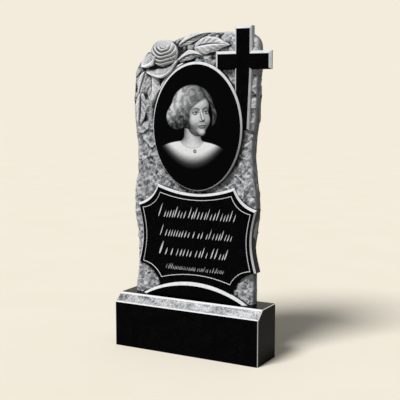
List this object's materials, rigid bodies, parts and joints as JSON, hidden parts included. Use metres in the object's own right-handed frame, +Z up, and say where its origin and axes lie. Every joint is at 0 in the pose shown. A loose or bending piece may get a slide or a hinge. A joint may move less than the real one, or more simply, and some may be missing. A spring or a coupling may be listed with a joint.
{
  "type": "granite headstone",
  "caption": "Upright dark granite slab with a raised oval, scooped tablet, Latin cross and carved rose on rough ground, standing on a long plinth with a hammered chamfer.",
  "frame": {"origin": "middle of the plinth's underside", "axes": "+Z up, the carved front looks along -Y, +X to the right seen from the front"},
  "size_m": [0.6095, 0.15, 1.191],
  "materials": {
    "plinth": "polished black stone with a bush-hammered grey chamfer",
    "stele": "polished black panels on rough-pitched and carved grey ground"
  },
  "bodies": {
    "root": {"plinth": "plinth", "stele": "stele"}
  },
  "joints": []
}
